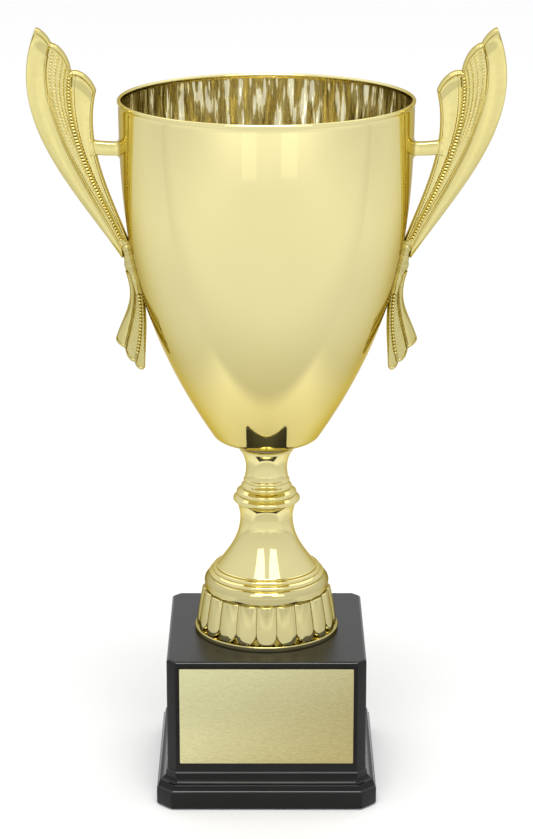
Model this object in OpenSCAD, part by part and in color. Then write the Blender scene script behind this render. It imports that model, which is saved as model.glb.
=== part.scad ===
// Loving-cup trophy: a spun bowl with two plume handles, on a spool stem, a ringed
// knuckle and a fluted riser, clamped to a weighted square base by one tie rod.
// Millimetres, +Z up, origin at the centre of the underside of the felt pad.

/* [Base] */
// Width of the base body across its flats
base_w = 87.5; // [76:0.5:110]
// Height of the base, from the table to its top face
base_h = 68; // [58:1:90]
// Size of the 45 degree clip on the body's four corners
base_clip = 4; // [2:0.5:8]
// Ledge by which the foot stands out all round
foot_ledge = 4.75; // [3:0.25:8]
// Height of the foot's upright face
foot_face_h = 8.3; // [6:0.1:12]
// Height of the cove moulding above the foot
foot_cove_h = 7.7; // [5:0.1:12]
// Size of the 45 degree clip on the foot's four corners
foot_clip = 6.5; // [4:0.5:10]
// Wall of the moulded base shell
base_wall = 3; // [2:0.25:4]
// Height of the cast ballast block hung under the shell's top
ballast_h = 34; // [20:1:36]
// Thickness of the bottom cover
cover_t = 2.5; // [1.5:0.25:4]
// Thickness of the felt pad
felt_t = 1.6; // [1:0.1:3]
// Height by which the felt stands below the shell's rim
felt_proud = 0.6; // [0.3:0.1:0.9]

/* [Engraving plate] */
// Width of the plate
plate_w = 76.2; // [50:0.1:78]
// Height of the plate
plate_h = 44.5; // [25:0.1:46]
// Thickness of the plate
plate_t = 0.6; // [0.4:0.1:1.2]
// Thickness of the adhesive sheet behind the plate
tape_t = 0.2; // [0.1:0.05:0.5]
// Gap between the plate's upper edge and the base's top face
plate_drop = 2.9; // [1:0.1:8]

/* [Riser] */
// Height of the fluted riser
riser_h = 53.5; // [48:0.5:66]
// Diameter of the riser's flange
flange_d = 64.2; // [58:0.2:72]
// Number of flutes round the riser
flute_n = 20; // [16:2:24]
// Height of the flutes above the flange
flute_h = 17; // [15:0.5:20]
// Diameter of the riser's neck
neck_d = 23.4; // [21:0.2:28]
// Wall of the riser's moulding at its top plate
riser_top_t = 5; // [4:0.5:8]

/* [Knuckle and spool] */
// Height of the ringed knuckle
knuckle_h = 18.5; // [17:0.5:23]
// Diameter of the knuckle's widest ring
knuckle_d = 29.7; // [27:0.1:36]
// Height of the spool under the bowl
spool_h = 13.2; // [11:0.2:17]
// Diameter of the spool's waist
spool_waist_d = 18.4; // [17:0.2:20]
// Diameter of the spool's top lip
spool_lip_d = 23.8; // [21.6:0.2:28]
// Height of the locating spigots between stem pieces
spigot_h = 2; // [1:0.25:3]
// Diameter of the locating spigots
spigot_d = 13; // [10:0.5:14]

/* [Bowl] */
// Diameter of the bowl's wall at the mouth
bowl_d = 126.4; // [104:0.2:152]
// Height of the bowl from its seat to the top of the rim bead
bowl_h = 154.5; // [128:0.5:186]
// Thickness of the spun wall
bowl_wall = 0.9; // [0.7:0.1:1.5]
// Diameter of the rolled bead at the mouth
bead_d = 1.8; // [1.6:0.1:3]
// Radius of the bowl's lower corner
bowl_foot_r = 23.8; // [22:0.2:28]
// Height of the bowl's lower corner above its seat
bowl_foot_h = 5.7; // [4:0.1:8]
// Radius of the flat seat under the bowl
bowl_seat_r = 11.6; // [10.5:0.1:13]

/* [Handles] */
// Thickness of a plume's dished panels
panel_t = 5; // [4:0.25:6]
// Thickness of the raised ribs and edges
rib_t = 8; // [7:0.25:10]
// Width of the raised ribs
rib_w = 1.4; // [1:0.1:2]
// Distance of the bridge arm's centre line below the rim
arm_drop = 21.4; // [19:0.2:26]
// Height of the bridge arm
arm_h = 6.2; // [5:0.2:8]
// Thickness of the bridge arm
arm_t = 6; // [5:0.25:8]
// Distance of the lower fixing below the rim
lug_drop = 74; // [70:0.5:78]

/* [Fasteners] */
// Diameter of the tie rod
rod_d = 6; // [5:0.5:6.5]
// Clearance all round a rod or screw in its hole
hole_gap = 0.3; // [0.15:0.05:0.5]
// Width of the rod's nuts across their flats
nut_af = 10; // [9:0.5:12]
// Height of the rod's nuts
nut_h = 5; // [4:0.25:6]
// Diameter of the rod's washers
washer_d = 18; // [14:0.5:20]
// Thickness of the rod's washers
washer_t = 1.5; // [1:0.1:2]
// Thickness of the spring lock washer
lock_t = 1.6; // [1.2:0.1:2]
// Thickness of the soft gasket under the bowl
gasket_t = 0.6; // [0.4:0.1:1.2]
// Diameter of the handle screws
screw_d = 3; // [2.5:0.5:3.5]
// Thread length of the upper handle screws inside the arm
screw_grip = 9; // [6:0.5:10]
// Thread length of the lower handle screws inside the lug
lug_grip = 3.2; // [2.5:0.1:3.6]

/* [Hidden] */
$fn = 96;

gold = [0.90, 0.84, 0.55];
steel = [0.75, 0.76, 0.78];
black = [0.13, 0.13, 0.13];

fit_gap = 0.25;      // clearance round a piece that drops into another
spigot_gap = 0.15;   // clearance round a locating spigot
thread_gap = 0.05;   // clearance between a thread and its nut
rod_end = 3;         // length of rod left showing past each nut

// Heights of the stacked pieces, each seated on the one below
riser_z = base_h;
knuckle_z = riser_z + riser_h;
spool_z = knuckle_z + knuckle_h;
gasket_z = spool_z + spool_h;
bowl_z = gasket_z + gasket_t;
rim_z = bowl_z + bowl_h;
upper_washer_z = bowl_z + bowl_wall;
upper_nut_z = upper_washer_z + washer_t;
ballast_z = base_h - base_wall - ballast_h;
lower_washer_z = ballast_z - washer_t;
lock_z = lower_washer_z - lock_t;
lower_nut_z = lock_z - nut_h;
rod_z = lower_nut_z - rod_end;
rod_top_z = upper_nut_z + nut_h + rod_end;

rod_r = rod_d / 2;
rod_hole_r = rod_r + hole_gap;
screw_r = screw_d / 2;
bowl_r = bowl_d / 2;
foot_w = base_w + 2 * foot_ledge;
recess_w = foot_w - 2 * (base_wall + 0.5);
recess_clip = foot_clip - 0.5;
cover_z = felt_t;
ledge_z = cover_z + cover_t;

// ---------------------------------------------------------------- curves

// Point at t on a cubic curve with control points p[0] to p[3]
function cubic(p, t) =
    pow(1 - t, 3) * p[0] + 3 * pow(1 - t, 2) * t * p[1]
    + 3 * (1 - t) * t * t * p[2] + t * t * t * p[3];

// Points along a cubic curve, from parameter a to b in n steps
function curve(p, n, a = 0, b = 1) = [for (i = [0:n]) cubic(p, a + (b - a) * i / n)];

// Point at t on a quadratic curve
function quadratic(p, t) = pow(1 - t, 2) * p[0] + 2 * (1 - t) * t * p[1] + t * t * p[2];

function unit(v) = v / norm(v);
function reversed(a) = [for (i = [len(a) - 1:-1:0]) a[i]];

// Direction along a path of points at point i
function along(a, i) = unit(a[min(i + 1, len(a) - 1)] - a[max(i - 1, 0)]);

// The same path moved d to the left of its direction
function shifted(a, d) = [for (i = [0:len(a) - 1]) a[i] + d * [-along(a, i)[1], along(a, i)[0]]];

// ---------------------------------------------------------------- base

module clipped_square(w, clip) {
    h = w / 2;
    c = h - clip;
    polygon([[c, -h], [h, -c], [h, c], [c, h], [-c, h], [-h, c], [-h, -c], [-c, -h]]);
}

// Half outline of the base from the foot up; d is added to every half width of
// the foot and e to the body's, so that one outline serves flats and corners
function base_profile(foot_half, body_half) =
    let (ledge = foot_half - body_half)
    let (cove_z = foot_face_h + 0.35 * foot_cove_h)
    let (cove_top = foot_face_h + foot_cove_h)
    let (cove_w = ledge - 1.6)
    concat(
        [[foot_half, felt_proud], [foot_half, foot_face_h], [foot_half - 1, cove_z]],
        [for (a = [0:15:90]) [
            body_half + 0.6 + cove_w * (1 - sin(a)),
            cove_z + 0.4 + (cove_top - cove_z - 0.8) * (1 - cos(a))
        ]],
        [[body_half, cove_top], [body_half, base_h - 0.8], [body_half - 0.25, base_h - 0.25],
         [body_half - 0.8, base_h]]
    );

// Straight moulding of the base's outline, long enough to cover a whole side
module base_moulding(foot_half, body_half) {
    p = base_profile(foot_half, body_half);
    mirrored = [for (v = reversed(p)) [-v[0], v[1]]];
    rotate([90, 0, 0])
        linear_extrude(2 * foot_w, center = true)
            polygon(concat(p, mirrored));
}

module base_shell() {
    body_diag = (base_w - base_clip) / sqrt(2);
    foot_diag = (foot_w - foot_clip) / sqrt(2);
    color(black)
    difference() {
        intersection() {
            base_moulding(foot_w / 2, base_w / 2);
            rotate([0, 0, 90]) base_moulding(foot_w / 2, base_w / 2);
            rotate([0, 0, 45]) base_moulding(foot_diag, body_diag);
            rotate([0, 0, -45]) base_moulding(foot_diag, body_diag);
        }
        translate([0, 0, -1])
            linear_extrude(ledge_z + 1)
                clipped_square(recess_w, recess_clip);
        linear_extrude(base_h - base_wall)
            clipped_square(base_w - 2 * base_wall, base_clip - 1);
        cylinder(r = rod_hole_r, h = base_h + 1);
    }
}

module felt_pad() {
    color([0.10, 0.16, 0.12])
    linear_extrude(felt_t)
        clipped_square(recess_w - 2 * fit_gap, recess_clip);
}

module bottom_cover() {
    color([0.25, 0.25, 0.25])
    translate([0, 0, cover_z])
        linear_extrude(cover_t)
            clipped_square(recess_w - 2 * fit_gap, recess_clip);
}

module ballast_block() {
    color([0.80, 0.79, 0.75])
    translate([0, 0, ballast_z])
        difference() {
            linear_extrude(ballast_h)
                clipped_square(base_w - 2 * (base_wall + fit_gap), base_clip - 1);
            translate([0, 0, -1]) cylinder(r = rod_hole_r + 0.5, h = ballast_h + 2);
        }
}

// Thin sheet on the front of the base, whose back lies at distance y from the centre
module front_sheet(y, t, inset) {
    translate([-plate_w / 2 + inset, -y - t, base_h - plate_drop - plate_h + inset])
        cube([plate_w - 2 * inset, t, plate_h - 2 * inset]);
}

module plate_adhesive() {
    color([0.92, 0.92, 0.90]) front_sheet(base_w / 2, tape_t, 1);
}

module engraving_plate() {
    color([0.80, 0.77, 0.55]) front_sheet(base_w / 2 + tape_t, plate_t, 0);
}

// ---------------------------------------------------------------- riser

flange_r = flange_d / 2;
flange_t = 2.6;
crest_r = flange_r - 0.75;        // crests of the flutes at the flange
dome_r = 45;                      // radius of the arc that the crests follow
flute_top_z = flange_t + flute_h;
flute_w = crest_r * sin(180 / flute_n);
lobe_r = flute_w * 1.06;          // radius of one flute's round back
neck_r = neck_d / 2;
bead_big_r = 3.2;
bead_small_r = 1.1;
big_bead_z = flute_top_z + bead_big_r + 0.1;
bell_z = flute_top_z + 10.2;      // groove where the bell springs from the beads

// Crest radius of the fluted dome at height z above the riser's foot
function crest(z) = crest_r - dome_r + sqrt(dome_r * dome_r - pow(z - 4, 2));

bell_curve = [
    [crest_r - 9, bell_z], [crest_r - 14, bell_z + 6.8],
    [neck_r, bell_z + 12.7], [neck_r, riser_h]
];

module riser_core() {
    body = concat(
        [[0, 0], [flange_r, 0], [flange_r, flange_t - 0.5], [flange_r - 0.4, flange_t]],
        [[crest_r - 2, flange_t + 0.4]],
        [for (z = [flange_t + 1:2:flute_top_z]) [crest(z) - 1.3, z]],
        [[crest(flute_top_z) - 0.8, flute_top_z], [crest_r - 7.2, bell_z - 1.2]],
        curve(bell_curve, 14),
        [[0, riser_h]]
    );
    rotate_extrude() polygon(body);
    rotate_extrude()
        translate([crest(flute_top_z) - 4, big_bead_z]) circle(bead_big_r);
    rotate_extrude()
        translate([crest_r - 6.8, bell_z - 3.1]) circle(bead_small_r);
    rotate_extrude()
        translate([crest_r - 8.2, bell_z - 1.1]) circle(bead_small_r - 0.1);
}

// One flute: a round-backed lobe that follows the dome and ends in a round tongue
module flute() {
    lean = atan((crest(flange_t + lobe_r) - crest(flute_top_z)) / (flute_h - lobe_r));
    foot_z = flange_t + lobe_r - 0.6;
    translate([crest(foot_z) - lobe_r, 0, foot_z]) {
        sphere(r = lobe_r, $fn = 48);
        rotate([0, -lean, 0])
            cylinder(r = lobe_r, h = (flute_top_z - foot_z) / cos(lean), $fn = 48);
    }
}

module riser_cavity() {
    plate_z = riser_h - riser_top_t;
    rotate_extrude()
        polygon([
            [0, -1], [crest_r - 4.4, -1], [crest_r - 4.4, flange_t + 4],
            [crest(flute_top_z) - 5, flute_top_z - 2], [crest_r - 11.5, bell_z - 4],
            [neck_r - 1.5, bell_z + 7], [neck_r - 2.5, plate_z], [0, plate_z]
        ]);
}

module riser() {
    color(gold)
    translate([0, 0, riser_z])
        difference() {
            union() {
                riser_core();
                for (i = [0:flute_n - 1])
                    rotate([0, 0, i * 360 / flute_n - 90]) flute();
            }
            riser_cavity();
            cylinder(r = rod_hole_r, h = riser_h + 1);
            translate([0, 0, riser_h - spigot_h - spigot_gap])
                cylinder(r = spigot_d / 2 + spigot_gap, h = spigot_h + 1);
        }
}

// ---------------------------------------------------------------- knuckle and spool

knuckle_r = knuckle_d / 2;
seam_r = spool_waist_d / 2 + 0.35;

// Rings of the knuckle: height as a share of the knuckle, how far the ring's
// edge lies inside the widest ring, and the ring's own section radius
rings = [[0.42, 0, 1.15], [0.58, 1.5, 1.1], [0.735, 3.6, 0.95], [0.89, 4.6, 0.9]];

module knuckle() {
    h = knuckle_h;
    cove = [[neck_r, 0], [neck_r + 0.6, 0.22 * h], [knuckle_r - 2.2, 0.27 * h],
            [knuckle_r - 0.9, 0.39 * h]];
    body = concat(
        [[0, 0]], curve(cove, 8),
        [[knuckle_r - 0.9, 0.45 * h], [knuckle_r - 2.4, 0.53 * h],
         [knuckle_r - 2.4, 0.61 * h], [knuckle_r - 4.3, 0.68 * h],
         [knuckle_r - 4.4, 0.77 * h], [knuckle_r - 5.3, 0.83 * h],
         [knuckle_r - 5.4, 0.95 * h], [seam_r, h], [0, h]]
    );
    color(gold)
    translate([0, 0, knuckle_z])
        difference() {
            union() {
                rotate_extrude() polygon(body);
                for (r = rings)
                    rotate_extrude()
                        translate([knuckle_r - r[1] - r[2], r[0] * h]) circle(r[2]);
                translate([0, 0, -spigot_h]) cylinder(r = spigot_d / 2, h = spigot_h + 1);
            }
            translate([0, 0, -spigot_h - 1]) cylinder(r = rod_hole_r, h = h + spigot_h + 2);
            translate([0, 0, h - spigot_h - spigot_gap])
                cylinder(r = spigot_d / 2 + spigot_gap, h = spigot_h + 1);
        }
}

module spool() {
    waist_r = spool_waist_d / 2;
    lip_r = spool_lip_d / 2;
    lip_section = 1;
    lip_z = spool_h - lip_section;
    waist_z = 0.29 * spool_h;
    lower = [[seam_r, 0], [waist_r, 0.1 * spool_h], [waist_r, 0.2 * spool_h],
             [waist_r, waist_z]];
    upper = [[waist_r, waist_z], [waist_r, 0.6 * spool_h],
             [lip_r - 1.1, 0.78 * spool_h], [lip_r - 0.35, lip_z - 0.6]];
    body = concat(
        [[0, 0]], curve(lower, 4), curve(upper, 10, 0.1, 1),
        [[lip_r - 0.35, lip_z], [lip_r - lip_section, spool_h], [0, spool_h]]
    );
    color(gold)
    translate([0, 0, spool_z])
        difference() {
            union() {
                rotate_extrude() polygon(body);
                rotate_extrude()
                    translate([lip_r - lip_section, lip_z]) circle(lip_section);
                translate([0, 0, -spigot_h]) cylinder(r = spigot_d / 2, h = spigot_h + 1);
            }
            translate([0, 0, -spigot_h - 1])
                cylinder(r = rod_hole_r, h = spool_h + spigot_h + 2);
        }
}

// ---------------------------------------------------------------- bowl

bead_r = bead_d / 2;
wall_top_h = bowl_h - bead_r;
bowl_rise = wall_top_h - bowl_foot_h;
corner_slope = 0.66;              // widening per height where the side leaves the corner
side_lead = 0.367 * bowl_rise;    // height over which that slope leads the curve
side_curve = [
    [bowl_foot_r, bowl_foot_h],
    [bowl_foot_r + corner_slope * side_lead * bowl_r / 63.2, bowl_foot_h + side_lead],
    [bowl_r, bowl_foot_h + 0.65 * bowl_rise],
    [bowl_r, wall_top_h]
];
corner_curve = [
    [bowl_foot_r - 3.8, bowl_foot_h - 2.66],
    [bowl_foot_r - 1.12, bowl_foot_h - 1.7],
    [bowl_foot_r, bowl_foot_h]
];

// Outside of the bowl from its seat to the mouth, in the bowl's own height
bowl_outside = concat(
    [[bowl_seat_r, 0]],
    [for (i = [0:5]) quadratic(corner_curve, i / 6)],
    curve(side_curve, 22)
);

// Parameter of the side curve at a height above the bowl's seat
function side_t(h, lo = 0, hi = 1, n = 20) =
    n == 0 ? (lo + hi) / 2 :
    cubic(side_curve, (lo + hi) / 2)[1] < h ? side_t(h, (lo + hi) / 2, hi, n - 1)
    : side_t(h, lo, (lo + hi) / 2, n - 1);

// Radius of the wall's outside, and its lean from upright, at a height above the seat
function wall_r(h) = cubic(side_curve, side_t(h))[0];
function wall_lean(h) = atan((wall_r(h + 0.5) - wall_r(h - 0.5)) / 1);

arm_h_in_bowl = bowl_h - arm_drop;
lug_h_in_bowl = bowl_h - lug_drop;

// Carries its children to a fixing point: origin on the wall's outside, +X outwards
module at_wall(h, side) {
    mirror([side < 0 ? 1 : 0, 0, 0])
        translate([wall_r(h), 0, bowl_z + h])
            rotate([0, wall_lean(h), 0])
                children();
}

// The bowl's outer form as one solid, which trims what bears against it
module bowl_form(grow) {
    rotate_extrude()
        polygon(concat([[0, 0]], shifted(bowl_outside, -grow), [[0, wall_top_h]]));
}

module bowl() {
    outside = concat([[rod_hole_r, 0]], bowl_outside);
    inside = shifted(outside, bowl_wall);
    color(gold)
    difference() {
        translate([0, 0, bowl_z]) {
            rotate_extrude() polygon(concat(outside, reversed(inside)));
            rotate_extrude()
                translate([bowl_r - bowl_wall / 2, wall_top_h]) circle(bead_r, $fn = 32);
        }
        for (side = [-1, 1])
            for (h = [arm_h_in_bowl, lug_h_in_bowl])
                at_wall(h, side)
                    rotate([0, 90, 0])
                        cylinder(r = screw_r + hole_gap, h = 8, center = true, $fn = 32);
    }
}

module bowl_gasket() {
    color([0.85, 0.83, 0.75])
    translate([0, 0, gasket_z])
        difference() {
            cylinder(r = bowl_seat_r - 1, h = gasket_t);
            translate([0, 0, -1]) cylinder(r = rod_hole_r, h = gasket_t + 2);
        }
}

// ---------------------------------------------------------------- handles

// Curves of a plume, from its tips down to the knot.  The first number is the
// distance out from the bowl's mouth radius, the second the height above the rim.
plume_outer = [[34, 29.4], [50, -9], [18, -40], [-1, -69.3]];
rib_outer = [[28.2, 23], [38.6, -2.7], [11.6, -41], [-0.6, -65]];
rib_inner = [[20, 11], [23.5, -15.7], [9.7, -39], [-1.6, -63]];
plume_inner = [[9.6, 3], [15.4, -20.5], [4.2, -42], [-4, -63.5]];
tip_outer = [[34, 29.4], [31.3, 28], [29.3, 25.8], [28.2, 23]];
tip_middle = [[26.7, 22.2], [22.3, 20.4], [20.3, 15.5], [20, 11]];
tip_inner = [[18.5, 11.3], [14, 11], [10.7, 7], [9.6, 3]];

// Curves of the tail, from the knot down to its three rounded ends
tail_outer = [[-2.5, -75.5], [-7.1, -89.3], [-1.9, -93.6], [2.1, -105.7]];
tail_rib_outer = [[-5, -80], [-8, -89.8], [-3.2, -99.9], [-1.8, -109.7]];
tail_rib_inner = [[-7.1, -80], [-9.8, -92], [-8.7, -104], [-6.1, -115.8]];
tail_inner = [[-9.2, -84.4], [-12, -95.7], [-10, -107.2], [-9.7, -118.7]];
end_outer = [[2.1, -105.7], [1.8, -107.7], [0, -109], [-1.8, -109.7]];
end_middle = [[-1.8, -109.7], [-2.1, -112], [-2.9, -116.2], [-6.1, -115.8]];
end_inner = [[-6.1, -115.8], [-5.5, -117.4], [-8.1, -121], [-9.7, -118.7]];

steps = 14;

// Slab with the given outline in the handle's plane, t thick across it
module slab(outline, t) {
    rotate([90, 0, 0]) linear_extrude(t, center = true) polygon(outline);
}

// Raised rib of the given width along a curve, from parameter a to b
module rib(p, w, t, a = 0, b = 1) {
    path = curve(p, steps, a, b);
    slab(concat(shifted(path, w / 2), reversed(shifted(path, -w / 2))), t);
}

// Whole outline of the plume, round its three tips
plume_outline = concat(
    reversed(curve(plume_outer, steps)), [for (i = [1:6]) cubic(tip_outer, i / 6)],
    curve(tip_middle, 6), curve(tip_inner, 6),
    [for (i = [1:steps]) cubic(plume_inner, i / steps)]
);

module plume() {
    slab(plume_outline, panel_t);
    rib(rib_outer, rib_w, rib_t, 0.03);
    rib(rib_inner, rib_w + 0.6, rib_t + 0.6, 0.03);
}

module tail() {
    slab(concat(
        curve(tail_outer, steps), [for (i = [1:4]) cubic(end_outer, i / 4)],
        [for (i = [1:4]) cubic(end_middle, i / 4)], [for (i = [1:3]) cubic(end_inner, i / 4)],
        reversed(curve(tail_inner, steps))
    ), panel_t + 0.4);
    rib(tail_rib_outer, rib_w, rib_t - 1, 0, 0.94);
    rib(tail_rib_inner, rib_w, rib_t - 1, 0, 0.94);
}

// Collars that bind the plume to its tail, leaning with the bowl's side
module knot() {
    collars = [[-4.2, -66.5, 3.6], [-4.8, -71.5, 4.2], [-6.2, -77, 3.8]];
    for (c = collars)
        translate([c[0], 0, c[1]])
            rotate([0, 14, 0])
                cylinder(r = c[2], h = 5, center = true, $fn = 48);
    slab([[-3.4, -63], [-15, -63], [-18, -88], [-9.3, -88], [-6, -80], [-2.6, -74]],
         rib_t - 1.2);
}

module arm() {
    translate([-4, -arm_t / 2, -arm_drop - arm_h / 2]) cube([15, arm_t, arm_h]);
}

// Thin saddle at the arm's end, bearing on the bowl's wall
module saddle() {
    intersection() {
        translate([0, 0, bowl_z]) bowl_form(1.1);
        translate([bowl_r - 8, -arm_t / 2 - 2.2, rim_z - arm_drop - arm_h / 2 - 1.4])
            cube([20, arm_t + 4.4, arm_h + 2.8]);
    }
}

module handle(side) {
    color(gold)
    mirror([side < 0 ? 1 : 0, 0, 0])
        difference() {
            union() {
                translate([bowl_r, 0, rim_z]) {
                    plume();
                    tail();
                    knot();
                    arm();
                }
                saddle();
            }
            translate([0, 0, bowl_z]) bowl_form(0);
            at_wall(arm_h_in_bowl, 1)
                rotate([0, 90, 0])
                    translate([0, 0, -4]) cylinder(r = screw_r, h = screw_grip + 4.5, $fn = 32);
            at_wall(lug_h_in_bowl, 1)
                rotate([0, 90, 0])
                    translate([0, 0, -4]) cylinder(r = screw_r, h = lug_grip + 4.3, $fn = 32);
        }
}

module handle_left() {
    handle(-1);
}

module handle_right() {
    handle(1);
}

// ---------------------------------------------------------------- fasteners

head_r = screw_d;
head_h = 0.7 * screw_d;
screw_washer_r = screw_d * 1.2;
screw_washer_t = 0.5;

// Gap that the hollow wall leaves under the middle of a flat washer
function washer_stand(h) =
    let (r = wall_r(h) - bowl_wall)
    r - sqrt(r * r - screw_washer_r * screw_washer_r) + 0.02;

module screw(h, grip) {
    seat = -bowl_wall - washer_stand(h) - screw_washer_t;
    rotate([0, 90, 0]) {
        translate([0, 0, seat - head_h]) cylinder(r = head_r, h = head_h, $fn = 32);
        translate([0, 0, seat - 0.1]) cylinder(r = screw_r - thread_gap, h = grip - seat, $fn = 32);
    }
}

module handle_screws() {
    color(steel)
    for (side = [-1, 1]) {
        at_wall(arm_h_in_bowl, side) screw(arm_h_in_bowl, screw_grip);
        at_wall(lug_h_in_bowl, side) screw(lug_h_in_bowl, lug_grip);
    }
}

module handle_washers() {
    color([0.80, 0.78, 0.70])
    for (side = [-1, 1])
        for (h = [arm_h_in_bowl, lug_h_in_bowl])
            at_wall(h, side)
                rotate([0, 90, 0])
                    translate([0, 0, -bowl_wall - washer_stand(h) - screw_washer_t])
                        difference() {
                            cylinder(r = screw_washer_r, h = screw_washer_t, $fn = 32);
                            translate([0, 0, -1])
                                cylinder(r = screw_r + 0.1, h = screw_washer_t + 2, $fn = 32);
                        }
}

module tie_rod() {
    chamfer = 0.5;
    color(steel)
    translate([0, 0, rod_z])
        rotate_extrude()
            polygon([
                [0, 0], [rod_r - chamfer, 0], [rod_r, chamfer],
                [rod_r, rod_top_z - rod_z - chamfer],
                [rod_r - chamfer, rod_top_z - rod_z], [0, rod_top_z - rod_z]
            ]);
}

module washer(z) {
    translate([0, 0, z])
        difference() {
            cylinder(d = washer_d, h = washer_t);
            translate([0, 0, -1]) cylinder(r = rod_r + 0.2, h = washer_t + 2);
        }
}

module nut(z) {
    translate([0, 0, z])
        difference() {
            intersection() {
                cylinder(d = nut_af / cos(30), h = nut_h, $fn = 6);
                rotate_extrude()
                    polygon([[0, 0], [nut_af * 0.53, 0], [nut_af * 0.59, 0.5],
                             [nut_af * 0.59, nut_h - 0.5], [nut_af * 0.53, nut_h], [0, nut_h]]);
            }
            translate([0, 0, -1]) cylinder(r = rod_r + thread_gap, h = nut_h + 2);
        }
}

module lower_washer() {
    color(steel) washer(lower_washer_z);
}

module upper_washer() {
    color(steel) washer(upper_washer_z);
}

module lower_nut() {
    color(steel) nut(lower_nut_z);
}

module upper_nut() {
    color(steel) nut(upper_nut_z);
}

module lock_washer() {
    color(steel)
    translate([0, 0, lock_z])
        difference() {
            cylinder(r = rod_r + 3, h = lock_t);
            translate([0, 0, -1]) cylinder(r = rod_r + 0.2, h = lock_t + 2);
            translate([0, -0.5, -1]) cube([rod_d + 4, 1, lock_t + 2]);
        }
}

felt_pad();
bottom_cover();
base_shell();
ballast_block();
engraving_plate();
plate_adhesive();
riser();
knuckle();
spool();
bowl_gasket();
bowl();
tie_rod();
lower_washer();
lock_washer();
lower_nut();
upper_washer();
upper_nut();
handle_left();
handle_right();
handle_screws();
handle_washers();
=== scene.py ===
"""Cup trophy: the looks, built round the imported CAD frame.  Metres, +Z up."""

import math
import random

import bpy
import numpy as np
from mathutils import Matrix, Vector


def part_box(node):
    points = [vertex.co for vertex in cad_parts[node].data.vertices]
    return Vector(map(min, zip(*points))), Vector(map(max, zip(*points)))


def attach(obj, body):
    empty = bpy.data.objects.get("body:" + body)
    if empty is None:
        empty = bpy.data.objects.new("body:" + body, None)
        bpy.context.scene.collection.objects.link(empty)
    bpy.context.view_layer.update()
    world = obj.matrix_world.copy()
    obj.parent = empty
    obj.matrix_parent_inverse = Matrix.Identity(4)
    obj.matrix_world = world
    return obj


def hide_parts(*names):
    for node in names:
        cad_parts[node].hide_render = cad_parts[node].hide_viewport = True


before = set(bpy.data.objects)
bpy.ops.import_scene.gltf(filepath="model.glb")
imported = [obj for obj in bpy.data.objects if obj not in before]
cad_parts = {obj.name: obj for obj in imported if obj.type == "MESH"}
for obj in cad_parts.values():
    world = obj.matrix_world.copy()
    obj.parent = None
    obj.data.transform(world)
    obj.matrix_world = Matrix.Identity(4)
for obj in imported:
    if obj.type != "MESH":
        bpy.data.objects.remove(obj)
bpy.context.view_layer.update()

MM = 0.001
TAU = 2 * math.pi


# ------------------------------------------------------------------ sizes from the frame

def box_mm(node):
    low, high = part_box(node)
    return np.array(low) / MM, np.array(high) / MM


riser_low, riser_high = box_mm("riser")
knuckle_high = box_mm("knuckle")[1]
spool_high = box_mm("spool")[1]
bowl_low, bowl_high = box_mm("bowl")
shell_low, shell_high = box_mm("base_shell")
plate_low, plate_high = box_mm("engraving_plate")
hole_r = 3.3                  # hole for the tie rod
knuckle_z = riser_high[2]
spool_z = knuckle_high[2]


# ------------------------------------------------------------------ curves

def cubic(points, t):
    """Points of a cubic curve at the parameters t, as rows."""
    p = np.array(points, float)
    t = np.atleast_1d(np.asarray(t, float))[:, None]
    s = 1 - t
    return s**3 * p[0] + 3 * s**2 * t * p[1] + 3 * s * t**2 * p[2] + t**3 * p[3]


def curve(points, n, start=0.0, stop=1.0):
    return cubic(points, np.linspace(start, stop, n + 1))


def arc(centre, radius, start_deg, stop_deg, n):
    """Points on a circle in the radius-height plane, angles from the +radius direction."""
    a = np.radians(np.linspace(start_deg, stop_deg, n + 1))
    return np.column_stack([centre[0] + radius * np.cos(a), centre[1] + radius * np.sin(a)])


def directions(path):
    """Unit direction of a path at each of its points."""
    d = np.gradient(np.asarray(path, float), axis=0)
    return d / np.maximum(np.linalg.norm(d, axis=1), 1e-9)[:, None]


def shifted(path, distance):
    """The path moved to the left of its direction."""
    d = directions(path)
    return path + distance * np.column_stack([-d[:, 1], d[:, 0]])


def along(path, spacing):
    """Points at an even spacing along a path, and the path's direction at each."""
    steps = np.linalg.norm(np.diff(path, axis=0), axis=1)
    reach = np.concatenate([[0], np.cumsum(steps)])
    stops = np.arange(spacing / 2, reach[-1], spacing)
    points = np.column_stack([np.interp(stops, reach, path[:, k]) for k in (0, 1)])
    d = directions(path)
    heading = np.column_stack([np.interp(stops, reach, d[:, k]) for k in (0, 1)])
    return points, heading


def smoothstep(x, low, high):
    t = np.clip((np.asarray(x, float) - low) / (high - low), 0, 1)
    return t * t * (3 - 2 * t)


# ------------------------------------------------------------------ meshes

def link(mesh, name):
    piece = bpy.data.objects.new(name, mesh)
    bpy.context.scene.collection.objects.link(piece)
    return piece


def solid_from(name, vertices, faces, face_slots=None):
    """Object from points in millimetres, smooth shaded."""
    mesh = bpy.data.meshes.new(name)
    mesh.from_pydata((np.asarray(vertices) * MM).tolist(), [], faces)
    mesh.validate()
    mesh.polygons.foreach_set("use_smooth", [True] * len(mesh.polygons))
    if face_slots is not None:
        mesh.polygons.foreach_set("material_index", face_slots)
    mesh.update()
    return link(mesh, name)


def grid_faces(rows, columns, wrap_columns=False, wrap_rows=False, start=0):
    """Quads of a grid of points stored row by row from index start."""
    r = np.arange(rows if wrap_rows else rows - 1)[:, None]
    c = np.arange(columns if wrap_columns else columns - 1)[None, :]
    below, right = (r + 1) % rows, (c + 1) % columns
    quads = np.stack(
        [r * columns + c, r * columns + right, below * columns + right, below * columns + c],
        axis=-1,
    )
    return (quads.reshape(-1, 4) + start).tolist()


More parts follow.
